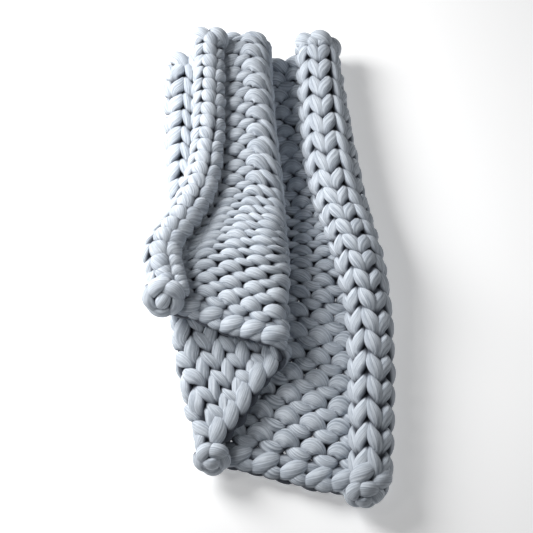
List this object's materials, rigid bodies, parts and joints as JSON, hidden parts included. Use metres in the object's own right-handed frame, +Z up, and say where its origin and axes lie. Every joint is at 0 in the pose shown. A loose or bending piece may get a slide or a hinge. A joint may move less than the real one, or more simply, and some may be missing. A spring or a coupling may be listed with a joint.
{
  "type": "chunky knit blanket",
  "caption": "Thick hand-knit blanket laid in three lengthwise layers, both side edges curled over, with raised stitches and a stepped near hem.",
  "frame": {"origin": "centre of the bounding box, at the level of the surface the blanket lies on", "axes": "+Y runs along the knitted columns from the stepped near hem to the far end, +X to the right across the layers, +Z up"},
  "size_m": [0.5226, 1.0648, 0.1976],
  "materials": {
    "wool": "matt, softly fibrous"
  },
  "bodies": {
    "root": {"blanket": "wool"}
  },
  "joints": []
}
